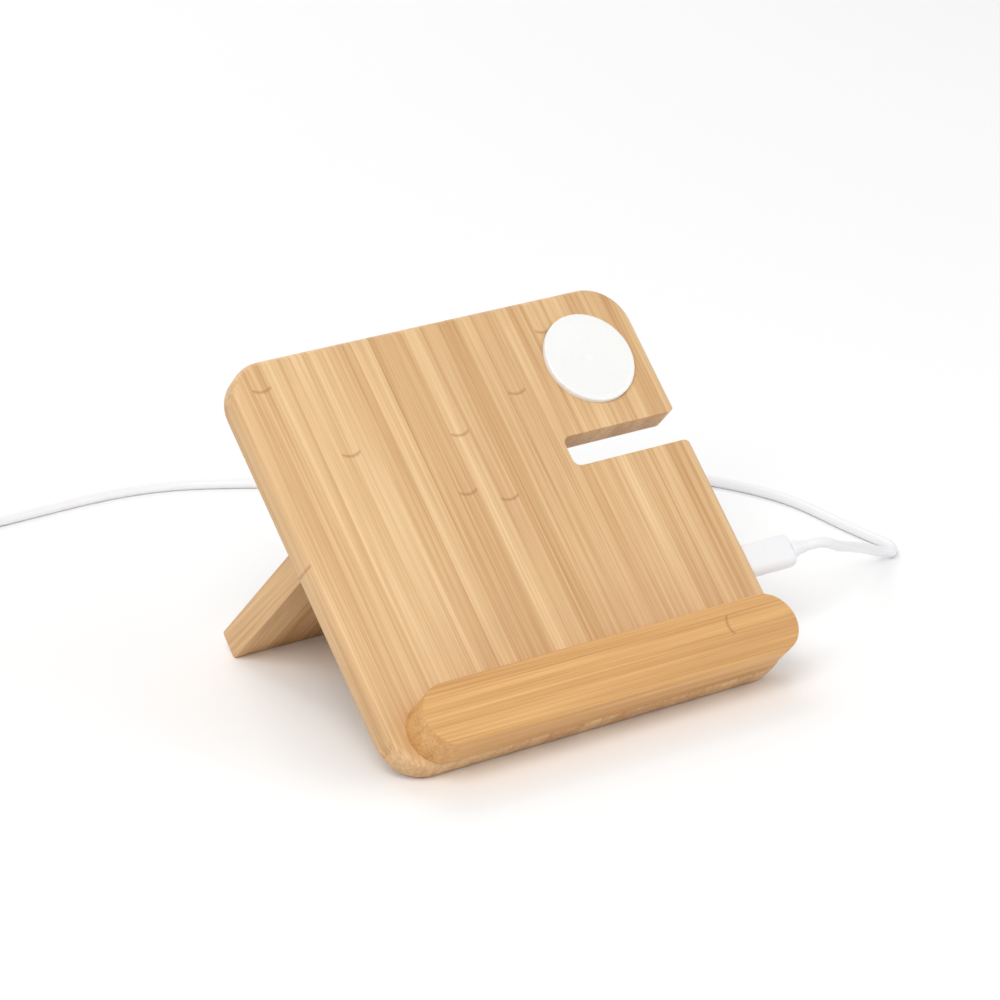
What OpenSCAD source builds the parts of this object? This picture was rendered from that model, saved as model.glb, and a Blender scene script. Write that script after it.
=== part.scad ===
// Bamboo charging stand: a leaning board with a ledge bar, a fold-out rear leg on two hinges,
// charging coils for a phone, earbuds and a watch, and a cable plugged into the right edge.
// The board's own frame has x from its middle, y up along it, and z from its back face forwards.

/* [Stand] */
// Angle between the board and the table, in degrees
lean = 44; // [42:0.5:48]
// Angle past square at which the open leg stops, in degrees
leg_tilt = 1.5; // [0.5:0.5:3]

/* [Board] */
// Width of the board
board_w = 141; // [138:1:155]
// Length of the board, up its slope
board_h = 133.5; // [131:0.5:142]
// Thickness of the board
board_t = 9.5; // [9.5:0.5:11]
// Radius of the board's corners, seen from the front
corner_r = 13.4; // [10:0.1:15]
// Rounding of the board's front and back edges
edge_r = 2.2; // [1:0.1:2.6]
// Wood left in front of the coils
front_web = 2; // [1.8:0.1:2.4]

/* [Strap slot] */
// Height of the slot for the watch strap
slot_h = 10; // [8:0.5:11]
// Depth of the slot from the board's right edge
slot_depth = 42.7; // [38:0.5:43]
// Distance from the watch charger's middle down to the slot
slot_drop = 22.8; // [22.5:0.1:24]
// Radius of the slot's two inner corners
slot_inner_r = 2.5; // [1:0.5:4]
// Radius of the board's corners at the slot's mouth
slot_mouth_r = 3; // [1:0.5:4]

/* [Ledge bar] */
// Height of the bar, along the board
bar_h = 19.4; // [17:0.2:21]
// How far the bar stands out of the board
bar_d = 13.3; // [10:0.1:16]
// From the board's left edge to the bar's left end
bar_left = 6.1; // [4:0.1:9]
// From the board's right edge to the bar's right end
bar_right = 4.1; // [3:0.1:9]
// Rounding of the bar's lower front edge
bar_low_r = 2.6; // [1:0.1:4]
// Rounding of the bar's upper front edge
bar_top_r = 0.8; // [0.4:0.1:2]
// Diameter of the glued dowels that hold the bar
dowel_d = 6; // [5:0.5:7]
// Length of each dowel
dowel_len = 14; // [10:1:16]
// From the bar's end to the nearest dowel
dowel_inset = 22; // [16:1:30]

/* [Support leg] */
// From the board's left edge to the leg
leg_left = 10.3; // [8:0.1:11]
// Width of the leg
leg_w = 74; // [66:1:75]
// Thickness of the leg
leg_t = 9; // [8:0.5:10]
// Height of the leg's underside on the board's back, along the slope
leg_v = 72.4; // [71:0.1:76]
// Rounding of the leg's long end edges
foot_r = 1; // [0.5:0.1:2]

/* [Hinges] */
// Width of each hinge
hinge_w = 16; // [14:1:17]
// From the leg's side to its nearest hinge
hinge_inset = 3; // [2:0.5:4]
// Length of each leaf from the pin
leaf_len = 15; // [13:1:18]
// Thickness of each leaf
leaf_t = 1; // [0.8:0.1:1.2]
// Outer diameter of the knuckles
knuckle_d = 3.6; // [3.4:0.1:4]
// Diameter of the hinge pin
pin_d = 1.8; // [1.6:0.1:2]
// Gap between the folded leg and the board
fold_gap = 1; // [0.8:0.1:1.4]
// Radial clearance of the pin in the leg's knuckle
pin_play = 0.05; // [0.03:0.01:0.08]
// Gap between one knuckle and the next
knuckle_gap = 0.3; // [0.2:0.05:0.5]
// Head diameter of the hinge screws
hinge_screw_head = 3.8; // [3.4:0.1:4.2]
// Shank diameter of the hinge screws
hinge_screw_d = 2; // [1.8:0.1:2.2]
// Length of the hinge screws
hinge_screw_len = 6; // [5:0.5:7]

/* [Rear cover] */
// Thickness of the rear cover
cover_t = 1.6; // [1.4:0.1:1.8]
// Clearance around the cover in its recess
cover_play = 0.2; // [0.1:0.05:0.3]
// Head diameter of the cover screws
cover_screw_head = 3.6; // [3.2:0.1:4]
// Shank diameter of the cover screws
cover_screw_d = 1.8; // [1.6:0.1:2]
// Length of the cover screws
cover_screw_len = 6; // [5:0.5:7]

/* [Phone charger] */
// From the board's left edge to the phone coil's middle
phone_left = 40; // [39:0.5:42]
// Height of the phone coil's middle, up the board
phone_v = 97; // [96.5:0.5:99]
// Outer diameter of the phone coil
phone_coil_d = 42; // [38:1:43]
// Inner diameter of the phone coil
phone_coil_hole = 20; // [16:1:24]

/* [Earbud charger] */
// From the board's right edge to the earbud coil's middle
earbud_right = 31; // [30:0.5:32]
// Height of the earbud coil's middle, up the board
earbud_v = 43; // [42:0.5:44]
// Outer diameter of the earbud coil
earbud_coil_d = 36; // [32:1:38]
// Inner diameter of the earbud coil
earbud_coil_hole = 16; // [12:1:20]

/* [Coils and ferrites] */
// Thickness of the wound coils
coil_t = 1.2; // [1:0.1:1.4]
// Thickness of the ferrite plates behind them
ferrite_t = 1; // [0.8:0.1:1.2]
// Extra radius of each pocket around its coil
pocket_play = 1; // [0.6:0.1:1.4]

/* [Watch charger] */
// From the board's right edge to the watch charger's middle
watch_right = 21.5; // [20.5:0.5:23]
// From the board's top edge to the watch charger's middle
watch_top = 23.5; // [22:0.5:25]
// Diameter of the round puck
puck_d = 30; // [27:0.5:31]
// How far the puck stands proud of the board
puck_proud = 1.6; // [1:0.1:2.5]
// Wall of the puck
puck_wall = 1.4; // [1.2:0.1:1.8]
// Width of the flange that holds the puck behind the board
puck_flange = 2; // [1.5:0.1:2.2]
// Depth of the shallow dish in the puck's face
dish_depth = 0.6; // [0.3:0.1:0.8]
// Outer diameter of the watch coil
watch_coil_d = 23; // [20:0.5:23.5]
// Diameter of the magnet in the middle
magnet_d = 9; // [7:0.5:10]

/* [Circuit board] */
// Length of the circuit board, across the stand
board_pcb_w = 49; // [46:0.5:49]
// Width of the circuit board, up the slope
board_pcb_h = 36; // [32:0.5:37]
// Thickness of the circuit board
pcb_t = 1; // [0.8:0.1:1.2]
// From the board's right edge to the circuit board
pcb_right = 4.8; // [4.5:0.1:5.2]
// Height of the circuit board's lower edge, up the slope
pcb_low = 15.8; // [15:0.1:17]
// Width of the wooden ledge that carries the circuit board
pcb_ledge = 3.6; // [3.2:0.1:4]

/* [Socket and plug] */
// Height of the socket's axis, up the slope
socket_v = 36; // [34:0.5:38]
// Width of the socket's shell
socket_w = 8.94; // [8.8:0.02:9.1]
// Height of the socket's shell
socket_h = 3.2; // [3.1:0.02:3.4]
// Length of the socket's shell
socket_len = 7.3; // [7:0.1:7.6]
// Thickness of the socket's and the plug's sheet metal
sheet_t = 0.3; // [0.25:0.01:0.32]
// Width of the moulded plug
plug_w = 10.4; // [9.5:0.1:11.5]
// Height of the moulded plug
plug_h = 6; // [5.5:0.1:7]
// Length of the moulded plug
plug_len = 18; // [15:0.5:22]
// Length of the plug's strain relief
relief_len = 6.5; // [5:0.5:9]

/* [Cable] */
// Diameter of the cable
cord_d = 3.4; // [3:0.1:3.6]
// Radius of the coil's inner loops
coil_in_r = 16; // [15:0.5:20]
// Loops in the coil's lower layer
coil_low_turns = 2; // [2:1:3]
// Loops in the coil's upper layer
coil_high_turns = 1.5; // [1.5:1:2.5]
// Space between neighbouring loops
coil_gap = 0.5; // [0.45:0.05:1]
// Thickness of the tie around the coil
tie_t = 0.6; // [0.4:0.1:1]
// Width of the tie
tie_w = 6; // [4:0.5:8]
// Width of the supply plug's moulded body
supply_w = 16; // [14:0.5:18]
// Height of the supply plug's moulded body
supply_h = 8; // [7:0.5:9]
// Length of the supply plug's moulded body
supply_len = 20; // [17:0.5:26]

/* [Hidden] */

bamboo = [0.86, 0.68, 0.45];
bamboo_dark = [0.80, 0.60, 0.37];
white_plastic = [0.93, 0.93, 0.92];
copper = [0.78, 0.45, 0.25];
ferrite_grey = [0.22, 0.22, 0.23];
steel = [0.72, 0.73, 0.74];
pcb_green = [0.10, 0.36, 0.22];
wood_fit = 0.05;
over = 1;

// Places on the board: x from its middle, y up the slope
function from_left(d) = -board_w / 2 + d;
function from_right(d) = board_w / 2 - d;
phone_x = from_left(phone_left);
earbud_x = from_right(earbud_right);
watch_x = from_right(watch_right);
watch_v = board_h - watch_top;
slot_top = watch_v - slot_drop;
slot_low = slot_top - slot_h;
slot_end = from_right(slot_depth);
web_z = board_t - front_web;
phone_pocket_r = phone_coil_d / 2 + pocket_play;
earbud_pocket_r = earbud_coil_d / 2 + pocket_play;
puck_r = puck_d / 2;
flange_r = puck_r + puck_flange;
watch_pocket_r = flange_r + 0.5;
flange_t = 1;

// The cover's outline: a band across the top, a column on the right and a round end on the phone coil
cover_rim = 3;
slot_wall = 3.8;
band_low = slot_top + slot_wall;
band_top = board_h - edge_r - 1.3;
band_right = from_right(3);
column_right = from_right(pcb_right - 1.8);
column_left = from_right(pcb_right + board_pcb_w + 3.7);
column_low = pcb_low - 6;
column_top = earbud_v + earbud_pocket_r + cover_rim + 3.4;
neck_right = slot_end - slot_wall;
wire_x = (column_left + neck_right) / 2;
wire_w = 5;
wire_z = 5.6;
cover_screw_places = [
    [phone_x + 4.5, band_top - 4.5],
    [phone_x + phone_pocket_r + 9, band_top - 4.5],
    [phone_x + phone_pocket_r + 9, phone_v + 8],
    [watch_x - watch_pocket_r - 2, band_top - 4.5],
    [column_left + 6, column_low + 2.8],
    [earbud_x + earbud_pocket_r + 2.4, column_top - 5]
];

// The circuit board lies on a wooden ledge with its parts towards the front
pcb_x = from_right(pcb_right + board_pcb_w);
pcb_top_z = cover_t + 0.2 + pcb_t;
socket_z = pcb_top_z + socket_h / 2;
socket_mouth = board_w / 2 - 0.4;

// The hinge axis lies in the corner between the board's back and the open leg's underside
pivot_v = leg_v - fold_gap / 2;
pivot_z = -fold_gap / 2;
hinge_xs = [from_left(leg_left + hinge_inset), from_left(leg_left + leg_w - hinge_inset - hinge_w)];
leg_slope = 90 - lean - leg_tilt;
ground_drop = edge_r * (sin(lean) + cos(lean) - 1);
pivot_height = pivot_v * sin(lean) + pivot_z * cos(lean) - ground_drop;
pivot_back = pivot_v * cos(lean) - pivot_z * sin(lean);
leg_len = foot_r + (pivot_height + (fold_gap / 2 + foot_r) * cos(leg_slope) - foot_r) / sin(leg_slope);

// The object's front and back ends, so that the origin lies midway between them
front_reach = bar_low_r * cos(lean) - (board_t + bar_d - bar_low_r) * sin(lean) - bar_low_r;
back_reach = pivot_back + (leg_len - foot_r) * cos(leg_slope)
    + (fold_gap / 2 + leg_t - foot_r) * sin(leg_slope) + foot_r;
board_y = -(front_reach + back_reach) / 2;

// The cable's route from the plug to the coil, in the stand's frame
cord_r = cord_d / 2;
coil_start = [-92, 191];
coil_pitch = cord_d + coil_gap;
coil_lift = tie_t + 0.1;
coil_z = cord_r + coil_lift;
route = [
    [95, -24.2, 27.3], [100, -24.2, 27.2], [105, -23.2, 25.6], [112, -19.6, 21.8],
    [121.5, -14.4, 17.6], [131.2, -8.2, 12.8], [139.5, -2.7, 8.4], [148, 2.3, 4.2],
    [153.5, 4, 2.3], [157.5, 10, 1.7], [157, 21, 1.7], [156.5, 33, 1.7],
    [156.5, 45, 1.7], [156, 56, 1.7], [153.5, 68, 1.7], [148, 82, 1.7],
    [139, 97, 1.7], [126, 112, 1.7], [109, 126, 1.7], [89, 138, 1.7],
    [66, 149, 1.7], [44, 159.5, 1.7], [26, 168.5, 1.7], [11.5, 177.6, 1.7],
    [-3, 185.6, 1.7], [-18, 190.2, 1.7], [-34, 191.8, 1.7], [-50, 191.6, 1.7],
    [-66, 191, 1.8], [-79, 191, 2.3], [-88.6, 191, 2.4]
];

// A smooth curve through points: the place a share t of the way from point i to the next
function spline_at(p, i, t) =
    let(n = len(p) - 1,
        a = p[max(i - 1, 0)], b = p[i], c = p[min(i + 1, n)], d = p[min(i + 2, n)])
    b + t * ((c - a) / 2 + t * ((2 * a - 5 * b + 4 * c - d) / 2 + t * (3 * b - a - 3 * c + d) / 2));
function spline(p, steps) =
    [for (i = [0:len(p) - 2], k = [0:steps - 1]) spline_at(p, i, k / steps), p[len(p) - 1]];
function path_length(p) = len(p) < 2 ? 0 : total([for (i = [1:len(p) - 1]) norm(p[i] - p[i - 1])]);
function total(v, i = 0) = i >= len(v) ? 0 : v[i] + total(v, i + 1);
function unit(v) = v / norm(v);

// A closed tube of n sides along a path that never runs straight up
module tube(path, r, n) {
    last = len(path) - 1;
    rings = [for (i = [0:last])
        let(d = unit(path[min(i + 1, last)] - path[max(i - 1, 0)]),
            side = unit(cross([0, 0, 1], d)), up = cross(d, side))
        for (k = [0:n - 1]) path[i] + r * (cos(360 * k / n) * up + sin(360 * k / n) * side)];
    walls = [for (i = [0:last - 1], k = [0:n - 1])
        let(a = i * n + k, b = i * n + (k + 1) % n)
        each [[a, a + n, b], [b, a + n, b + n]]];
    ends = concat([for (k = [1:n - 2]) [0, k, k + 1]],
        [for (k = [1:n - 2]) [last * n, last * n + k + 1, last * n + k]]);
    polyhedron(rings, concat(walls, ends));
}

// The coil: a lower layer that winds in, half a turn that climbs, and an upper layer that winds out
coil_out_r = coil_in_r + coil_low_turns * coil_pitch;
coil_mid = [coil_start[0], coil_start[1] + coil_out_r];
coil_turns = coil_low_turns + 0.5 + coil_high_turns;
coil_reverse = coil_low_turns + 0.25;
function coil_radius(t) = coil_out_r - coil_pitch * (coil_reverse - abs(t - coil_reverse));
function coil_height(t) =
    coil_z + coil_pitch * (1 - cos(180 * min(max((t - coil_low_turns) / 0.5, 0), 1))) / 2;
function coil_point(t) =
    let(a = -90 - 360 * t)
    [coil_mid[0] + coil_radius(t) * cos(a), coil_mid[1] + coil_radius(t) * sin(a), coil_height(t)];
coil_rings = 24;
supply_z = supply_h / 2;
tail_y = coil_mid[1] - coil_radius(coil_turns);
tail_z = coil_z + coil_pitch;
supply_x = coil_mid[0] - 37;
coil_path = concat(
    [[route[len(route) - 1][0], coil_start[1], coil_z]],
    [for (i = [0:coil_turns * coil_rings]) coil_point(i / coil_rings)],
    [[coil_mid[0] - 9, tail_y, tail_z], [coil_mid[0] - 19, tail_y, tail_z],
     [coil_mid[0] - 27, tail_y, (tail_z + supply_z) / 2],
     [supply_x + cord_d, tail_y, supply_z], [supply_x, tail_y, supply_z]]);
coil_self_gap = min([for (i = [0:len(coil_path) - 1], j = [i + 12:1:len(coil_path) - 1])
    norm(coil_path[i] - coil_path[j])]) - cord_d;
echo(least_gap_between_loops = coil_self_gap);
echo(cable_length = path_length(spline(route, 2)) + path_length(coil_path));

// Everything on the board is drawn in the board's own frame
module on_board() translate([0, board_y, -ground_drop]) rotate([lean, 0, 0]) children();
// Everything on the leg is drawn from the hinge axis: y along the leg, z up from its underside
module on_leg() on_board() translate([0, pivot_v, pivot_z]) rotate([-90 + leg_tilt, 0, 0]) children();

module rounded_rect(x0, y0, x1, y1, r) {
    translate([x0 + r, y0]) square([x1 - x0 - 2 * r, y1 - y0]);
    translate([x0, y0 + r]) square([x1 - x0, y1 - y0 - 2 * r]);
    for (x = [x0 + r, x1 - r], y = [y0 + r, y1 - r]) translate([x, y]) circle(r = r, $fn = 48);
}
module stadium(w, h) {
    square([w - h, h], center = true);
    for (s = [-1, 1]) translate([s * (w - h) / 2, 0]) circle(d = h, $fn = 48);
}
// A corner of the board: a disc whose rim is rounded front and back
module rounded_disc(r, t, e) {
    rotate_extrude($fn = 48)
        polygon(concat(
            [[0, 0]],
            [for (a = [-90:15:0]) [r - e + e * cos(a), e + e * sin(a)]],
            [for (a = [0:15:90]) [r - e + e * cos(a), t - e + e * sin(a)]],
            [[0, t]]));
}
module board_slab() {
    hull() for (s = [-1, 1], y = [corner_r, board_h - corner_r])
        translate([s * (board_w / 2 - corner_r), y, 0]) rounded_disc(corner_r, board_t, edge_r);
}
// The slot, with rounded inner corners and a rounded mouth
module slot_outline() {
    r = slot_inner_r;
    m = slot_mouth_r;
    edge = board_w / 2;
    translate([slot_end, slot_low + r]) square([edge + over - slot_end, slot_h - 2 * r]);
    translate([slot_end + r, slot_low]) square([edge + over - slot_end - r, slot_h]);
    for (y = [slot_low + r, slot_top - r]) translate([slot_end + r, y]) circle(r = r, $fn = 48);
    for (s = [-1, 1]) translate([edge, (slot_low + slot_top) / 2 + s * slot_h / 2])
        difference() {
            translate([-m, s > 0 ? 0 : -m]) square([m + over, m]);
            translate([-m, s * m]) circle(r = m, $fn = 48);
        }
}
module cover_outline(play) {
    rounded_rect(phone_x, band_low + play, band_right - play, band_top - play, 6);
    rounded_rect(column_left + play, column_low + play, column_right - play, column_top - play, 6);
    translate([column_left + play, column_top - 12])
        square([neck_right - column_left - 2 * play, band_low - column_top + 20]);
    translate([phone_x, phone_v]) circle(r = phone_pocket_r + cover_rim - play, $fn = 96);
}
module earbud_pocket_outline() {
    translate([earbud_x, earbud_v]) circle(r = earbud_pocket_r, $fn = 96);
    translate([pcb_x + pcb_ledge, pcb_low + pcb_ledge])
        square([board_pcb_w - 2 * pcb_ledge, board_pcb_h - 2 * pcb_ledge + 3]);
}
module wire_channels() {
    translate([wire_x - wire_w / 2, pcb_low + board_pcb_h - 3])
        square([wire_w, watch_v - pcb_low - board_pcb_h + 3 + wire_w / 2]);
    translate([phone_x + phone_pocket_r - 2, phone_v - wire_w / 2])
        square([wire_x - phone_x - phone_pocket_r + 2, wire_w]);
    translate([wire_x, watch_v - wire_w / 2]) square([watch_x - watch_pocket_r + 2 - wire_x, wire_w]);
}
// A countersunk screw that points forwards from the plane z = 0
module screw(head, d, length) {
    cone = (head - d) / 2;
    difference() {
        union() {
            cylinder(d1 = head, d2 = d, h = cone, $fn = 24);
            translate([0, 0, cone - 0.01]) cylinder(d = d, h = length - cone - 0.6, $fn = 24);
            translate([0, 0, length - 0.62]) cylinder(d1 = d, d2 = d / 2, h = 0.62, $fn = 24);
        }
        for (a = [0, 90]) rotate(a) translate([-head * 0.3, -0.25, -over]) cube([head * 0.6, 0.5, over + 0.6]);
    }
}
module screw_hole(head, d, length) {
    cone = (head - d) / 2;
    translate([0, 0, -over]) cylinder(d = d + 2 * wood_fit, h = length + over + 0.3, $fn = 24);
    translate([0, 0, -0.01]) cylinder(d1 = head + 2 * wood_fit, d2 = d + 2 * wood_fit, h = cone + 0.01, $fn = 24);
}
// Places of the screws in one hinge leaf, from the leaf's corner at the pin
leaf_screws = [[4, leaf_len - 4.6], [hinge_w - 4, leaf_len - 4.6]];

module front_board() color(bamboo) on_board() difference() {
    board_slab();
    translate([0, 0, -over]) linear_extrude(board_t + 2 * over) slot_outline();
    translate([0, 0, -over]) linear_extrude(cover_t + over) cover_outline(0);
    translate([phone_x, phone_v, 0]) cylinder(r = phone_pocket_r, h = web_z, $fn = 96);
    linear_extrude(web_z) earbud_pocket_outline();
    linear_extrude(wire_z) wire_channels();
    translate([watch_x, watch_v, 0]) cylinder(r = watch_pocket_r, h = web_z, $fn = 96);
    translate([watch_x, watch_v, 0]) cylinder(r = puck_r + 0.1, h = board_t + over, $fn = 96);
    translate([pcb_x - 0.3, pcb_low - 0.3, 0]) cube([board_pcb_w + 0.6, board_pcb_h + 0.6, pcb_top_z]);
    for (p = pcb_screws) translate([p[0], p[1], cover_t]) cylinder(d = 1.5, h = 4.6, $fn = 24);
    for (p = cover_screw_places) translate([p[0], p[1], 0])
        screw_hole(cover_screw_head, cover_screw_d, cover_screw_len);
    translate([board_w / 2 - pcb_right - 5, socket_v, socket_z]) rotate([90, 0, 90])
        linear_extrude(pcb_right + 5 + over) stadium(socket_w + 0.3, socket_h + 0.3);
    for (x = hinge_xs) {
        translate([x - 0.1, pivot_v - leaf_len - 0.1, -over]) cube([hinge_w + 0.2, leaf_len + 0.1, leaf_t + over]);
        translate([x - 0.3, pivot_v, pivot_z]) rotate([0, 90, 0])
            cylinder(d = knuckle_d + 0.6, h = hinge_w + 0.6, $fn = 48);
        for (p = leaf_screws) translate([x + p[0], pivot_v - p[1], 0])
            screw_hole(hinge_screw_head, hinge_screw_d, hinge_screw_len);
    }
    for (x = dowel_xs) translate([x, bar_h / 2, board_t - dowel_len / 2])
        cylinder(d = dowel_d, h = dowel_len / 2 + over, $fn = 48);
}

dowel_xs = [from_left(bar_left + dowel_inset), from_right(bar_right + dowel_inset)];
module ledge_bar() color(bamboo) on_board() difference() {
    intersection() {
        translate([(bar_left - bar_right) / 2, bar_h / 2, board_t])
            linear_extrude(bar_d) stadium(board_w - bar_left - bar_right, bar_h);
        translate([-board_w / 2, 0, board_t]) rotate([90, 0, 90]) linear_extrude(board_w) difference() {
            translate([0, -over]) square([bar_h, bar_d + over]);
            for (c = [[0, bar_low_r, 1], [bar_h, bar_top_r, -1]]) translate([c[0], bar_d]) difference() {
                translate([c[2] > 0 ? -over : -c[1], -c[1]]) square([c[1] + over, c[1] + over]);
                translate([c[2] * c[1], -c[1]]) circle(r = c[1], $fn = 48);
            }
        }
    }
    for (x = dowel_xs) translate([x, bar_h / 2, board_t - over])
        cylinder(d = dowel_d, h = dowel_len / 2 + over, $fn = 48);
}
module ledge_dowels() color(bamboo_dark) on_board()
    for (x = dowel_xs) translate([x, bar_h / 2, board_t - dowel_len / 2 + 0.2]) {
        cylinder(d1 = dowel_d - 1, d2 = dowel_d - 2 * wood_fit, h = 0.5, $fn = 48);
        translate([0, 0, 0.5]) cylinder(d = dowel_d - 2 * wood_fit, h = dowel_len - 1.4, $fn = 48);
        translate([0, 0, dowel_len - 0.9]) cylinder(d1 = dowel_d - 2 * wood_fit, d2 = dowel_d - 1, h = 0.5, $fn = 48);
    }

hinge_clear = 0.5;
module rear_cover() color(white_plastic) on_board() difference() {
    linear_extrude(cover_t) cover_outline(cover_play);
    for (p = cover_screw_places) translate([p[0], p[1], 0])
        screw_hole(cover_screw_head, cover_screw_d, cover_screw_len);
    // It keeps clear of the hinges, wherever they are
    for (x = hinge_xs) translate([x - hinge_clear, pivot_v - leaf_len - hinge_clear, -over])
        cube([hinge_w + 2 * hinge_clear, leaf_len + knuckle_d / 2 + 2 * hinge_clear, cover_t + 2 * over]);
}
module cover_screws() color(steel) on_board()
    for (p = cover_screw_places) translate([p[0], p[1], 0])
        screw(cover_screw_head, cover_screw_d, cover_screw_len);

module wound_coil(outer, inner) difference() {
    cylinder(d = outer, h = coil_t, $fn = 96);
    translate([0, 0, -over]) cylinder(d = inner, h = coil_t + 2 * over, $fn = 96);
}
module phone_coil() color(copper) on_board()
    translate([phone_x, phone_v, web_z - coil_t]) wound_coil(phone_coil_d, phone_coil_hole);
module phone_ferrite() color(ferrite_grey) on_board()
    translate([phone_x, phone_v, web_z - coil_t - ferrite_t]) cylinder(d = phone_coil_d, h = ferrite_t, $fn = 96);
module earbud_coil() color(copper) on_board()
    translate([earbud_x, earbud_v, web_z - coil_t]) wound_coil(earbud_coil_d, earbud_coil_hole);
module earbud_ferrite() color(ferrite_grey) on_board()
    translate([earbud_x, earbud_v, web_z - coil_t - ferrite_t]) cylinder(d = earbud_coil_d, h = ferrite_t, $fn = 96);

// The watch charger: a dished puck with a flange, and its coil, ferrite and magnet inside
puck_top = board_t + puck_proud;
puck_ceiling = puck_top - puck_wall;
dish_r = puck_r - 2;
puck_bore_r = puck_r - puck_wall;
module watch_puck() color(white_plastic) on_board() translate([watch_x, watch_v, 0]) difference() {
    rotate_extrude($fn = 96) polygon(concat(
        [[0, web_z - flange_t], [flange_r, web_z - flange_t], [flange_r, web_z], [puck_r, web_z]],
        [for (a = [0:15:90]) [puck_r - 0.6 + 0.6 * cos(a), puck_top - 0.6 + 0.6 * sin(a)]],
        [for (k = [8:-1:0]) [dish_r * k / 8, puck_top - dish_depth * (1 - pow(k / 8, 2))]]));
    translate([0, 0, web_z - flange_t - over])
        cylinder(r = puck_bore_r, h = puck_ceiling - web_z + flange_t + over, $fn = 96);
}
module watch_coil() color(copper) on_board()
    translate([watch_x, watch_v, puck_ceiling - coil_t]) wound_coil(watch_coil_d, magnet_d + 1.6);
module watch_ferrite() color(ferrite_grey) on_board()
    translate([watch_x, watch_v, puck_ceiling - coil_t - ferrite_t]) difference() {
        cylinder(r = puck_bore_r - 0.3, h = ferrite_t, $fn = 96);
        translate([0, 0, -over]) cylinder(d = magnet_d + 1, h = ferrite_t + 2 * over, $fn = 48);
    }
module watch_magnet() color(steel) on_board()
    translate([watch_x, watch_v, puck_ceiling - coil_t - ferrite_t])
        cylinder(d = magnet_d, h = coil_t + ferrite_t, $fn = 48);

// The coils' insulated leads, laid in the routed channels and down to the circuit board
lead_r = 0.8;
lead_z = 4.2;
lead_end = [pcb_low + board_pcb_h - 3, pcb_top_z + lead_r];
phone_lead = [
    [phone_x + phone_coil_d / 2 - 3, phone_v, web_z - coil_t - ferrite_t - lead_r - 0.05],
    [phone_x + phone_coil_d / 2, phone_v, web_z - coil_t - ferrite_t - lead_r - 0.15],
    [phone_x + phone_pocket_r + 2, phone_v, lead_z], [wire_x - 6, phone_v, lead_z],
    [wire_x - 1.3, phone_v - 3, lead_z], [wire_x - 1.3, phone_v - 12, lead_z],
    [wire_x - 1.3, lead_end[0] + 10, lead_z], [wire_x - 1.3, lead_end[0] + 3, lead_end[1]],
    [wire_x - 1.3, lead_end[0], lead_end[1]]];
watch_lead = [
    [watch_x - puck_bore_r + 2.2, watch_v - 0.5, web_z - flange_t - lead_r - 0.2],
    [watch_x - watch_pocket_r - 1, watch_v, lead_z], [wire_x + 5, watch_v, lead_z],
    [wire_x + 1.3, watch_v - 4, lead_z], [wire_x + 1.3, phone_v - 6, lead_z],
    [wire_x + 1.3, lead_end[0] + 10, lead_z], [wire_x + 1.3, lead_end[0] + 3, lead_end[1]],
    [wire_x + 1.3, lead_end[0], lead_end[1]]];
module phone_coil_leads() color([0.8, 0.15, 0.12]) on_board() tube(spline(phone_lead, 3), lead_r, 8);
module watch_coil_leads() color([0.15, 0.15, 0.16]) on_board() tube(spline(watch_lead, 3), lead_r, 8);

pcb_screws = [
    [pcb_x + pcb_ledge / 2, pcb_low + pcb_ledge / 2],
    [pcb_x + board_pcb_w - pcb_ledge / 2, pcb_low + pcb_ledge / 2]];
module circuit_board() color(pcb_green) on_board() translate([0, 0, pcb_top_z - pcb_t]) difference() {
    translate([pcb_x, pcb_low, 0]) cube([board_pcb_w, board_pcb_h, pcb_t]);
    for (p = pcb_screws) translate([p[0], p[1], -over]) cylinder(d = 1.6, h = pcb_t + 2 * over, $fn = 24);
}
module circuit_screws() color(steel) on_board()
    for (p = pcb_screws) translate([p[0], p[1], cover_t + 0.05]) {
        cylinder(d = 2.6, h = 0.15, $fn = 24);
        cylinder(d = 1.5, h = 4.2, $fn = 24);
    }
// Power inductors, driver chips and capacitors, under the height that the ferrite leaves
module circuit_parts() color([0.16, 0.16, 0.17]) on_board() translate([pcb_x, pcb_low, pcb_top_z]) {
    for (x = [8, 17, 26]) translate([x, 6, 0]) cube([5, 5, 2]);
    for (x = [8, 20]) translate([x, 14, 0]) cube([4, 4, 0.9]);
    for (x = [14, 26, 31]) translate([x, 14, 0]) cube([3.2, 2.5, 1.6]);
    for (i = [0:4]) translate([8 + i * 5, 22, 0]) cube([2, 1.2, 0.9]);
    translate([34, 7, 0]) cube([3, 3, 1]);
}
module usb_socket() color(steel) on_board()
    translate([socket_mouth - socket_len, socket_v, socket_z]) rotate([90, 0, 90]) difference() {
        linear_extrude(socket_len) stadium(socket_w, socket_h);
        translate([0, 0, 0.8]) linear_extrude(socket_len)
            stadium(socket_w - 2 * sheet_t, socket_h - 2 * sheet_t);
    }
module usb_tongue() color([0.12, 0.12, 0.13]) on_board()
    translate([socket_mouth - socket_len + 0.8, socket_v - 3.3, socket_z - 0.35]) cube([5, 6.6, 0.7]);

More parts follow.
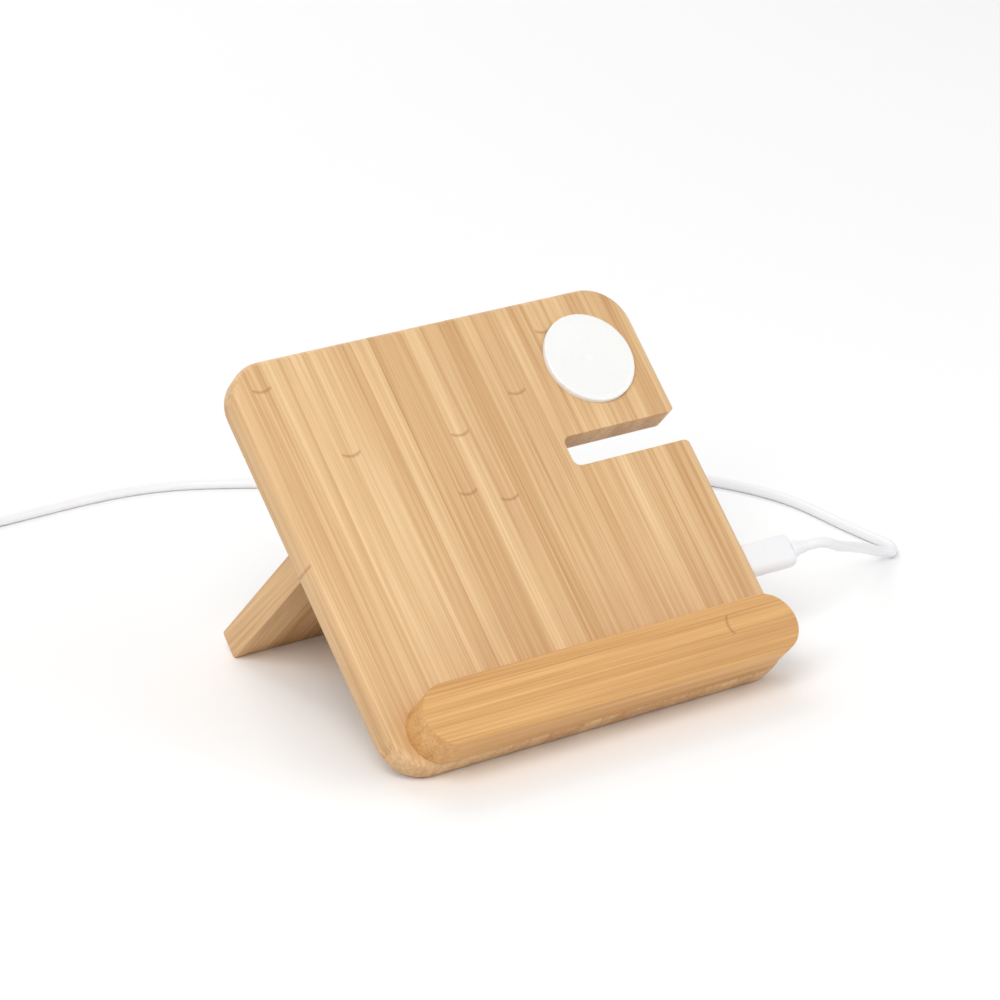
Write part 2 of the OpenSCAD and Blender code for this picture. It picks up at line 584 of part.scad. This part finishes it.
// The leg: its root is cut at the stop angle, so that it lies flat on the board's back
leg_x = from_left(leg_left);
module leg_profile() difference() {
    union() {
        rounded_rect(2, fold_gap / 2, leg_len, fold_gap / 2 + leg_t, foot_r);
        translate([-over, fold_gap / 2]) square([8, leg_t]);
    }
    rotate(-leg_tilt) translate([-20 - fold_gap / 2, -20]) square([20, 60]);
}
module support_leg() color(bamboo) on_leg() difference() {
    translate([leg_x, 0, 0]) rotate([90, 0, 90]) linear_extrude(leg_w) leg_profile();
    for (x = hinge_xs) {
        translate([x - 0.1, -over, -over]) cube([hinge_w + 0.2, leaf_len + over + 0.1, over + fold_gap / 2 + leaf_t]);
        translate([x - 0.3, 0, 0]) rotate([0, 90, 0]) cylinder(d = knuckle_d + 0.6, h = hinge_w + 0.6, $fn = 48);
        for (p = leaf_screws) translate([x + p[0], p[1], fold_gap / 2])
            screw_hole(hinge_screw_head, hinge_screw_d, hinge_screw_len);
    }
}
// Both leaves are drawn lying along y from the pin, with the screw heads facing down
knuckle_inset = 0.1;
knuckle_w = (hinge_w - 2 * knuckle_gap - 2 * knuckle_inset) / 3;
function knuckle_x(x, k) = x + knuckle_inset + k * (knuckle_w + knuckle_gap);
module leaf(x, knuckles, notches, bore) difference() {
    union() {
        difference() {
            translate([x, 0, fold_gap / 2]) cube([hinge_w, leaf_len, leaf_t]);
            for (k = notches) translate([knuckle_x(x, k) - knuckle_gap - knuckle_inset, -over, 0])
                cube([knuckle_w + 2 * knuckle_gap + 2 * knuckle_inset, over + knuckle_d / 2 + 0.4, 4]);
        }
        for (k = knuckles) translate([knuckle_x(x, k), 0, 0]) rotate([0, 90, 0])
            cylinder(d = knuckle_d, h = knuckle_w, $fn = 48);
    }
    translate([x - over, 0, 0]) rotate([0, 90, 0]) cylinder(r = bore, h = hinge_w + 2 * over, $fn = 48);
    for (p = leaf_screws) translate([x + p[0], p[1], fold_gap / 2])
        screw_hole(hinge_screw_head, hinge_screw_d, hinge_screw_len);
}
module board_leaf(x) color(steel) on_board() translate([0, pivot_v, pivot_z]) mirror([0, 1, 0])
    leaf(x, [0, 2], [1], pin_d / 2);
module leg_leaf(x) color(steel) on_leg() leaf(x, [1], [0, 2], pin_d / 2 + pin_play);
module hinge_pin(x) color([0.6, 0.61, 0.62]) on_board() translate([x, pivot_v, pivot_z]) rotate([0, 90, 0])
    cylinder(d = pin_d, h = hinge_w, $fn = 48);
module left_hinge_board_leaf() board_leaf(hinge_xs[0]);
module left_hinge_leg_leaf() leg_leaf(hinge_xs[0]);
module left_hinge_pin() hinge_pin(hinge_xs[0]);
module right_hinge_board_leaf() board_leaf(hinge_xs[1]);
module right_hinge_leg_leaf() leg_leaf(hinge_xs[1]);
module right_hinge_pin() hinge_pin(hinge_xs[1]);
module hinge_board_screws() color(steel) on_board()
    for (x = hinge_xs, p = leaf_screws) translate([x + p[0], pivot_v - p[1], 0])
        screw(hinge_screw_head, hinge_screw_d, hinge_screw_len);
module hinge_leg_screws() color(steel) on_leg()
    for (x = hinge_xs, p = leaf_screws) translate([x + p[0], p[1], fold_gap / 2])
        screw(hinge_screw_head, hinge_screw_d, hinge_screw_len);

// The cable's plug: a metal shell in the socket, a moulded body and a stepped strain relief
plug_shell_w = socket_w - 2 * sheet_t - 0.1;
plug_shell_h = socket_h - 2 * sheet_t - 0.2;
plug_face = board_w / 2 + 0.1;
module at_plug(x) on_board() translate([x, socket_v, socket_z]) rotate([90, 0, 90]) children();
module plug_shell() color(steel) at_plug(plug_face - 6.2) difference() {
    linear_extrude(6.2) stadium(plug_shell_w, plug_shell_h);
    translate([0, 0, -over]) linear_extrude(6.2 + 2 * over)
        stadium(plug_shell_w - 2 * sheet_t, plug_shell_h - 2 * sheet_t);
}
module plug_body() color(white_plastic) at_plug(plug_face) linear_extrude(plug_len)
    rounded_rect(-plug_w / 2, -plug_h / 2, plug_w / 2, plug_h / 2, plug_h / 2 - 0.4);
module plug_strain_relief() color(white_plastic) at_plug(plug_face + plug_len)
    rotate_extrude($fn = 48) polygon([
        [0, 0], [2.9, 0], [2.7, 0.42 * relief_len], [2.3, 0.42 * relief_len],
        [cord_r + 0.15, relief_len - 0.1], [0, relief_len - 0.1]]);
module cord_run() color(white_plastic) tube(spline(route, 2), cord_r, 8);
module cord_coil() color(white_plastic) tube(coil_path, cord_r, 6);
// The tie lies round all the loops, on the side away from the climb
tie_low = coil_in_r + 0.25 * coil_pitch - cord_r - 0.5;
tie_high = coil_in_r + (coil_low_turns - 0.75) * coil_pitch + cord_r + 0.4;
tie_top = coil_z + coil_pitch + cord_r + 0.1;
module coil_tie() color([0.2, 0.2, 0.21]) translate([coil_mid[0], coil_mid[1] - tie_w / 2, 0]) difference() {
    translate([tie_low - tie_t, 0, 0]) cube([tie_high - tie_low + 2 * tie_t, tie_w, tie_top + tie_t]);
    translate([tie_low, -over, tie_t]) cube([tie_high - tie_low, tie_w + 2 * over, tie_top - tie_t]);
}

// The supply plug at the far end: strain relief, moulded body, metal shell and its plastic tongue
supply_relief_len = 8;
shell_w = 12;
shell_h = 4.5;
shell_len = 12;
module at_supply(x) translate([supply_x - x, tail_y, supply_z]) rotate([90, 0, -90]) children();
module supply_strain_relief() color(white_plastic) at_supply(0) rotate_extrude($fn = 48)
    polygon([[0, 0], [cord_r + 0.2, 0], [cord_r + 1.2, supply_relief_len], [0, supply_relief_len]]);
module supply_plug_body() color(white_plastic) at_supply(supply_relief_len) linear_extrude(supply_len)
    rounded_rect(-supply_w / 2, -supply_h / 2, supply_w / 2, supply_h / 2, 2);
module supply_plug_shell() color(steel) at_supply(supply_relief_len + supply_len) difference() {
    linear_extrude(shell_len) square([shell_w, shell_h], center = true);
    translate([0, 0, -over]) linear_extrude(shell_len + 2 * over)
        square([shell_w - 2 * sheet_t, shell_h - 2 * sheet_t], center = true);
    for (s = [-1, 1]) translate([s * 3, shell_h / 2, shell_len - 5]) cube([2.2, 2, 2.2], center = true);
}
module supply_plug_tongue() color([0.95, 0.95, 0.94]) at_supply(supply_relief_len + supply_len)
    translate([-(shell_w - 2 * sheet_t - 0.1) / 2, -(shell_h - 2 * sheet_t) / 2 + 0.02, 0])
        cube([shell_w - 2 * sheet_t - 0.1, 1.8, shell_len - 0.6]);

front_board();
ledge_bar();
ledge_dowels();
rear_cover();
cover_screws();
phone_coil();
phone_ferrite();
phone_coil_leads();
earbud_coil();
earbud_ferrite();
watch_puck();
watch_coil();
watch_ferrite();
watch_magnet();
watch_coil_leads();
circuit_board();
circuit_parts();
circuit_screws();
usb_socket();
usb_tongue();
support_leg();
left_hinge_board_leaf();
left_hinge_leg_leaf();
left_hinge_pin();
right_hinge_board_leaf();
right_hinge_leg_leaf();
right_hinge_pin();
hinge_board_screws();
hinge_leg_screws();
plug_shell();
plug_body();
plug_strain_relief();
cord_run();
cord_coil();
coil_tie();
supply_strain_relief();
supply_plug_body();
supply_plug_shell();
supply_plug_tongue();
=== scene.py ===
import bpy
import math
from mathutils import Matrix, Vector


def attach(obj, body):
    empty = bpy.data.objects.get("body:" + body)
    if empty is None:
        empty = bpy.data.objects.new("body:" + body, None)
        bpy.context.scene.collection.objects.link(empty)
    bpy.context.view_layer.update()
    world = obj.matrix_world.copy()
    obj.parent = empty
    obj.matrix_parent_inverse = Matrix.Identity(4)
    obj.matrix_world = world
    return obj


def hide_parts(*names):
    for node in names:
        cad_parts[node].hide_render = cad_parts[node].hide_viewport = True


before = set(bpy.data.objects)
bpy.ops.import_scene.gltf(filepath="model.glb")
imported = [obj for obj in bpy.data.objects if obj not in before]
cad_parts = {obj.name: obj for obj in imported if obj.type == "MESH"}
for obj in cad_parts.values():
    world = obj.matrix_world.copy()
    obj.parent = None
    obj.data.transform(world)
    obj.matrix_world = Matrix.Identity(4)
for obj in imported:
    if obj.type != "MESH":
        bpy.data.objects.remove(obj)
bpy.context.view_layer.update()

# The photograph's camera: a long lens from the front left, a little above the stand, looking
# down at it. Its place and turn come from a fit to the board's straight edges and corners.
camera_data = bpy.data.cameras.new("camera")
camera_data.lens = 145.4
camera_data.sensor_width = 36.0
camera_data.clip_end = 20.0
camera = bpy.data.objects.new("camera", camera_data)
camera.location = (-0.6275, -0.9100, 0.4907)
camera.rotation_euler = (math.radians(68.52), math.radians(0.07), math.radians(-34.57))
bpy.context.scene.collection.objects.link(camera)
bpy.context.scene.camera = camera


# The cable: a smooth white jacket, 3.4 mm thick. It leaves the plug straight, comes down to the
# table, turns behind the stand and runs on past the picture's left edge into its tied coil.
# Its material is the first one, so the colours, shader sums and recipes are written here.
def linear(red, green, blue):
    """A colour as seen on a screen, from 0 to 255, as the shader's own numbers."""
    parts = []
    for level in (red / 255, green / 255, blue / 255):
        dark = level <= 0.04045
        parts.append(level / 12.92 if dark else ((level + 0.055) / 1.055) ** 2.4)
    return (*parts, 1.0)


class Sum:
    """A socket of a material's nodes, on which + - * / and the like add Math nodes."""

    def __init__(self, recipe, socket):
        self.recipe = recipe
        self.socket = socket

    def do(self, operation, *others):
        values = {i: other for i, other in enumerate((self, *others))}
        return self.recipe.add("ShaderNodeMath", {"operation": operation}, values)

    def __add__(self, other):
        return self.do("ADD", other)

    def __sub__(self, other):
        return self.do("SUBTRACT", other)

    def __mul__(self, other):
        return self.do("MULTIPLY", other)

    def __truediv__(self, other):
        return self.do("DIVIDE", other)

    def __rsub__(self, other):
        return self.recipe.add("ShaderNodeMath", {"operation": "SUBTRACT"}, {0: other, 1: self})

    __radd__ = __add__
    __rmul__ = __mul__

    def clamp(self, low, high):
        return self.do("MAXIMUM", low).do("MINIMUM", high)


class Recipe:
    """A new material, whose nodes all come from add."""

    def __init__(self, name):
        self.material = bpy.data.materials.new(name)
        self.material.use_nodes = True
        self.tree = self.material.node_tree
        self.shader = self.tree.nodes["Principled BSDF"]

    def add(self, kind, settings=None, values=None, out=0):
        node = self.tree.nodes.new(kind)
        for key, value in (settings or {}).items():
            if key == "stops":
                while len(node.color_ramp.elements) < len(value):
                    node.color_ramp.elements.new(0.5)
                for element, (place, colour) in zip(node.color_ramp.elements, value):
                    element.position = place
                    element.color = colour
            else:
                setattr(node, key, value)
        for key, value in (values or {}).items():
            self.feed(node.inputs[key], value)
        return Sum(self, node.outputs[out])

    def feed(self, socket, value):
        if isinstance(value, Sum):
            self.tree.links.new(value.socket, socket)
        else:
            socket.default_value = value

    def mix(self, share, first, second):
        return self.add("ShaderNodeMix", {"data_type": "RGBA"}, {0: share, 6: first, 7: second}, 2)

    def place(self, turn=(0, 0, 0)):
        spot = self.add("ShaderNodeTexCoord", out=3)
        return self.add("ShaderNodeMapping", {}, {0: spot, 2: [math.radians(a) for a in turn]})

    def finish(self, **sockets):
        for name, value in sockets.items():
            self.feed(self.shader.inputs[name.replace("_", " ")], value)
        return self.material


def dress(piece, material, slot, body, *nodes):
    """Gives a finished piece its material and body, and hides the parts that it stands for; slot
    is not used.
    """
    piece.data.materials.clear()
    piece.data.materials.append(material)
    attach(piece, body)
    if nodes:
        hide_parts(*nodes)


cord_d = 0.0034
route = [
    (95, -24.2, 27.3), (100, -24.2, 27.2), (105, -23.2, 25.6), (112, -19.6, 21.8),
    (121.5, -14.4, 17.6), (131.2, -8.2, 12.8), (139.5, -2.7, 8.4), (148, 2.3, 4.2),
    (153.5, 4, 2.3), (157.5, 10, 1.7), (157, 21, 1.7), (156.5, 33, 1.7),
    (156.5, 45, 1.7), (156, 56, 1.7), (153.5, 68, 1.7), (148, 82, 1.7),
    (139, 97, 1.7), (126, 112, 1.7), (109, 126, 1.7), (89, 138, 1.7),
    (66, 149, 1.7), (44, 159.5, 1.7), (26, 168.5, 1.7), (11.5, 177.6, 1.7),
    (-3, 185.6, 1.7), (-18, 190.2, 1.7), (-34, 191.8, 1.7), (-50, 191.6, 1.7),
    (-66, 191, 1.8), (-79, 191, 2.3), (-88.6, 191, 2.4)]
route = [Vector(p) / 1000 for p in route]
loop_gap = 0.0005
lift = 0.0007
coil_in_r = 0.016
coil_pitch = cord_d + loop_gap
coil_low_turns = 2
coil_climb_turns = 0.5
coil_high_turns = 1.5
coil_turns = coil_low_turns + coil_climb_turns + coil_high_turns
coil_out_r = coil_in_r + coil_low_turns * coil_pitch
coil_reverse = coil_low_turns + coil_climb_turns / 2
coil_mid = Vector((-0.092, 0.191 + coil_out_r, 0))
coil_z = cord_d / 2 + lift
supply_z = 0.004
steps_per_span = 6
rings_per_turn = 48


def between(points, i, t):
    last = len(points) - 1
    a, b, c, d = (points[min(max(k, 0), last)] for k in (i - 1, i, i + 1, i + 2))
    slope = (c - a) / 2
    bend = (2 * a - 5 * b + 4 * c - d) / 2
    twist = (3 * b - a - 3 * c + d) / 2
    return b + t * (slope + t * (bend + t * twist))


def coil_radius(turn):
    return coil_out_r - coil_pitch * (coil_reverse - abs(turn - coil_reverse))


def coil_point(turn):
    climb = min(max((turn - coil_low_turns) / coil_climb_turns, 0), 1)
    angle = math.radians(-90 - 360 * turn)
    radius = coil_radius(turn)
    height = coil_z + coil_pitch * (1 - math.cos(math.pi * climb)) / 2
    return coil_mid + Vector((radius * math.cos(angle), radius * math.sin(angle), height))


line = [between(route, i, k / steps_per_span)
        for i in range(len(route) - 1) for k in range(steps_per_span)]
line += [route[-1]]
line += [coil_point(i / rings_per_turn) for i in range(int(coil_turns * rings_per_turn) + 1)]
tail_y = coil_mid.y - coil_radius(coil_turns)
tail = [coil_point(coil_turns)]
tail += [Vector((coil_mid.x + dx / 1000, tail_y, z)) for dx, z in (
    (-9, coil_z + coil_pitch), (-19, coil_z + coil_pitch),
    (-27, (coil_z + coil_pitch + supply_z) / 2), (-33.6, supply_z), (-37, supply_z))]
line += [between(tail, i, (k + 1) / steps_per_span)
         for i in range(len(tail) - 1) for k in range(steps_per_span)]
cable_data = bpy.data.curves.new("cable", "CURVE")
cable_data.dimensions = "3D"
cable_data.bevel_depth = cord_d / 2
cable_data.bevel_resolution = 5
cable_data.use_fill_caps = True
strand = cable_data.splines.new("POLY")
strand.points.add(len(line) - 1)
for knot, spot in zip(strand.points, line):
    knot.co = (*spot, 1)
strand.use_smooth = True
cable = bpy.data.objects.new("cable", cable_data)
bpy.context.scene.collection.objects.link(cable)
jacket = Recipe("cable_jacket")
relief_height = 0.0002
grain = jacket.add("ShaderNodeTexNoise", {}, {
    "Vector": jacket.place(), "Scale": 900.0, "Detail": 2.0})
bump = jacket.add("ShaderNodeBump", {}, {
    "Strength": 0.08, "Distance": relief_height, "Height": grain})
jacket.finish(Base_Color=linear(236, 236, 238), Roughness=grain * 0.08 + 0.38, Normal=bump)
dress(cable, jacket.material, "cable_jacket", "stand", "cord_run", "cord_coil")
cable_length = sum((b - a).length for a, b in zip(line, line[1:]))


# The board and the ledge bar: laminated bamboo, sawn, sanded and eased along every edge. The
# board's grain runs up the slope and the bar's across it, and two dowels hold the bar. The
# bamboo is strips glued side by side, with fine fibres, a few dark joints and a satin finish.
def bamboo(name, turn, along, light, dark, seed):
    """Bamboo whose strips run along axis 0 or 1 of the turned object coordinates."""
    wood = Recipe(name)
    spot = wood.place(turn)
    parts = [wood.add("ShaderNodeSeparateXYZ", {}, {0: spot}, i) for i in range(3)]
    length = parts[along]
    across = parts[1 - along]
    depth = parts[2]

    # The strips: their seams wander a little, and each has a number and a tone of its own
    strip_w = 0.0062
    seam_drift = 0.0012
    wander = wood.add("ShaderNodeTexNoise", {"noise_dimensions": "1D"}, {
        "W": length * 9 + seed, "Scale": 1.0})
    lane = (across + (wander - 0.5) * seam_drift + seed * 0.01) / strip_w
    index = lane.do("FLOOR")
    inside = lane - index
    tone = wood.add("ShaderNodeTexWhiteNoise", {"noise_dimensions": "1D"}, {"W": index + seed})
    seam = ((inside - 0.5).do("ABSOLUTE") * 2).do("POWER", 14.0)

    # Fine fibres and broader streaks: the same noise, stretched along the strips
    stretched = wood.add("ShaderNodeCombineXYZ", {}, {
        0: across * 1500, 1: length * 14 + index * 3, 2: depth * 900})
    fibre = wood.add("ShaderNodeTexNoise", {}, {
        "Vector": stretched, "Scale": 1.0, "Detail": 4.0, "Roughness": 0.6})
    broad = wood.add("ShaderNodeCombineXYZ", {}, {
        0: across * 320, 1: length * 7 + index * 5, 2: depth * 240})
    streak = wood.add("ShaderNodeTexNoise", {}, {"Vector": broad, "Scale": 1.0, "Detail": 2.0})

    # The cane's joints: a thin bowed stroke across some of the strips, each at its own place
    joint_spread = 0.26
    joint_sharpness = 1300
    joint = wood.add("ShaderNodeTexWhiteNoise", {"noise_dimensions": "1D"}, {
        "W": index * 1.7 + seed + 3})
    bow = ((inside - 0.5) * (inside - 0.5)) * 0.004
    off_joint = (length - (joint - 0.5) * joint_spread - bow).do("ABSOLUTE")
    away = (off_joint * joint_sharpness).do("MINIMUM", 1.0)
    stroke = (1 - away) * joint.do("GREATER_THAN", 0.62)

    tones = (fibre - 0.5) * 1.5 + (streak - 0.5) * 0.9 + (tone - 0.5) * 0.5
    shade = (tones + 0.45 + seam * 0.18).clamp(0.0, 1.0)
    tinted = wood.mix(shade, linear(*light), linear(*dark))
    marked = wood.mix(stroke * 0.5, tinted, linear(138, 88, 46))
    relief = wood.add("ShaderNodeBump", {}, {
        "Strength": 0.12, "Distance": relief_height, "Height": fibre - stroke * 0.3})
    wood.finish(Base_Color=marked, Roughness=fibre * 0.14 + 0.40, Normal=relief)
    return wood.material


lean = 44
leg_tilt = 1.5
board_bamboo = bamboo("board_bamboo", (-lean, 0, 0), 1, (229, 194, 146), (186, 138, 86), 2.0)
bar_bamboo = bamboo("bar_bamboo", (-lean, 0, 0), 0, (228, 180, 116), (184, 130, 72), 5.0)
leg_bamboo = bamboo("leg_bamboo", (lean - leg_tilt, 0, 0), 1, (226, 188, 138), (180, 130, 78), 8.0)


merge_distance = 0.000002
flat_degrees = 0.3
sharp_degrees = 40
smooth_degrees = 35


def eased(node, width, segments=3):
    """A copy of a part with its triangles joined and its sharp edges eased by a bevel."""
    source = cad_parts[node]
    bpy.ops.object.select_all(action="DESELECT")
    piece = bpy.data.objects.new("finished_" + node, source.data.copy())
    bpy.context.scene.collection.objects.link(piece)
    piece.select_set(True)
    bpy.context.view_layer.objects.active = piece
    bpy.ops.object.mode_set(mode="EDIT")
    bpy.ops.mesh.select_all(action="SELECT")
    bpy.ops.mesh.remove_doubles(threshold=merge_distance)
    bpy.ops.mesh.dissolve_limited(angle_limit=math.radians(flat_degrees))
    bpy.ops.object.mode_set(mode="OBJECT")
    if width:
        bevel = piece.modifiers.new("eased_edges", "BEVEL")
        bevel.width = width
        bevel.segments = segments
        bevel.limit_method = "ANGLE"
        bevel.angle_limit = math.radians(sharp_degrees)
        bevel.use_clamp_overlap = True
        bpy.ops.object.modifier_apply(modifier=bevel.name)
    bpy.ops.object.shade_smooth_by_angle(angle=math.radians(smooth_degrees))
    return piece


dress(eased("front_board", 0.0005), board_bamboo, "bamboo", "stand", "front_board")
dress(eased("ledge_bar", 0.0005), bar_bamboo, "bamboo", "stand", "ledge_bar")
dress(eased("ledge_dowels", 0), bar_bamboo, "dowel_wood", "stand", "ledge_dowels")

# The rear leg: a bamboo plate with its grain along it, cut square, its edges lightly eased.
# It turns with the leg's body, so its finish is fixed to it and folds with it.
dress(eased("support_leg", 0.0005), leg_bamboo, "bamboo", "leg", "support_leg")


# The puck on the board's front, the rear cover, and the metal parts and electronics behind it.
# Each finish has a fine grain in its tone, roughness and bump, finer on metal than on plastic.
def plain(name, colour, roughness, metallic=0.0, scale=700.0, depth=0.06, coat=0.0):
    finish = Recipe(name)
    speckle = finish.add("ShaderNodeTexNoise", {}, {
        "Vector": finish.place(), "Scale": scale, "Detail": 3.0})
    relief = finish.add("ShaderNodeBump", {}, {
        "Strength": depth, "Distance": relief_height, "Height": speckle})
    shaded = [c * 0.8 for c in colour]
    tone = finish.mix(speckle * 0.12, linear(*colour), linear(*shaded))
    finish.shader.inputs["Coat Weight"].default_value = coat
    finish.finish(Base_Color=tone, Roughness=speckle * 0.1 + roughness, Metallic=metallic,
                  Normal=relief)
    return finish.material


cover_plastic = plain("cover_plastic", (232, 232, 228), 0.50, depth=0.15)
puck_plastic = plain("puck_plastic", (238, 238, 236), 0.28, coat=0.3)
cable_plastic = plain("cable_plastic", (236, 236, 238), 0.30)
nickel = plain("nickel", (196, 194, 188), 0.30, 1.0, 1600.0)
copper_wire = plain("copper_wire", (190, 112, 66), 0.35, 0.9, 1200.0)
ferrite_black = plain("ferrite_black", (58, 58, 62), 0.70)
mask_green = plain("mask_green", (28, 98, 62), 0.35)
chip_black = plain("chip_black", (38, 38, 40), 0.55)
tie_tape = plain("tie_tape", (46, 46, 50), 0.90, scale=2400.0, depth=0.6)
red_wire = plain("red_wire", (176, 42, 36), 0.45)

dress(eased("rear_cover", 0.0002, 2), cover_plastic, "white_plastic", "stand", "rear_cover")
dress(eased("watch_puck", 0.0002, 2), puck_plastic, "puck_plastic", "stand", "watch_puck")
kept = {
    "cover_screws": nickel, "phone_coil": copper_wire, "phone_ferrite": ferrite_black,
    "phone_coil_leads": red_wire, "earbud_coil": copper_wire, "earbud_ferrite": ferrite_black,
    "watch_coil": copper_wire, "watch_ferrite": ferrite_black, "watch_magnet": nickel,
    "watch_coil_leads": chip_black, "circuit_board": mask_green, "circuit_parts": chip_black,
    "circuit_screws": nickel, "usb_socket": nickel, "usb_tongue": chip_black,
    "left_hinge_board_leaf": nickel, "left_hinge_leg_leaf": nickel, "left_hinge_pin": nickel,
    "right_hinge_board_leaf": nickel, "right_hinge_leg_leaf": nickel, "right_hinge_pin": nickel,
    "hinge_board_screws": nickel, "hinge_leg_screws": nickel, "plug_shell": nickel,
    "coil_tie": tie_tape, "supply_plug_shell": nickel, "supply_plug_tongue": cable_plastic}
for name, material in kept.items():
    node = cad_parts[name]
    node.data.materials.clear()
    node.data.materials.append(material)

# The plug in the board's edge and the supply plug at the far end: glossy white mouldings.
for name, width in (("plug_body", 0.0009), ("plug_strain_relief", 0.0002),
                    ("supply_plug_body", 0.0010), ("supply_strain_relief", 0.0002)):
    piece = eased(name, width, 4)
    dress(piece, cable_plastic, "cable_plastic", "stand", name)

# The set: a pale floor that keeps the shadow, a white background, and three large soft lamps.
bpy.ops.object.select_all(action="DESELECT")
bpy.ops.mesh.primitive_plane_add(size=8, location=(0, 0, 0))
floor = bpy.context.object
floor.name = "floor"
ground = Recipe("floor_white")
ground.finish(Base_Color=(0.94, 0.94, 0.94, 1), Roughness=0.9)
floor.data.materials.append(ground.material)
world = bpy.data.worlds.new("studio")
bpy.context.scene.world = world
world.use_nodes = True
sky = world.node_tree
backdrop = sky.nodes["Background"]
backdrop.inputs[0].default_value = (1, 1, 1, 1)
path = sky.nodes.new("ShaderNodeLightPath")
seen = sky.nodes.new("ShaderNodeMath")
seen.operation = "MAXIMUM"
sky.links.new(path.outputs["Is Camera Ray"], seen.inputs[0])
sky.links.new(path.outputs["Is Glossy Ray"], seen.inputs[1])
level = sky.nodes.new("ShaderNodeMapRange")
sky.links.new(seen.outputs[0], level.inputs[0])
lit, shown = 0.55, 1.0
level.inputs[3].default_value = lit
level.inputs[4].default_value = shown
sky.links.new(level.outputs[0], backdrop.inputs[1])
lamps = [
    ("key", (-0.9, -0.8, 1.3), 1.0, 16.0),
    ("fill", (1.2, -1.0, 0.9), 1.2, 5.0),
    ("back", (0.2, 1.3, 1.2), 1.2, 8.0)]
target = Vector((0, 0, 0.04))
for name, place, size, power in lamps:
    lamp_data = bpy.data.lights.new(name, "AREA")
    lamp_data.size = size
    lamp_data.energy = power
    lamp = bpy.data.objects.new(name, lamp_data)
    lamp.location = place
    lamp.rotation_euler = (target - Vector(place)).to_track_quat("-Z", "Y").to_euler()
    bpy.context.scene.collection.objects.link(lamp)
bpy.context.scene.view_settings.view_transform = "Standard"
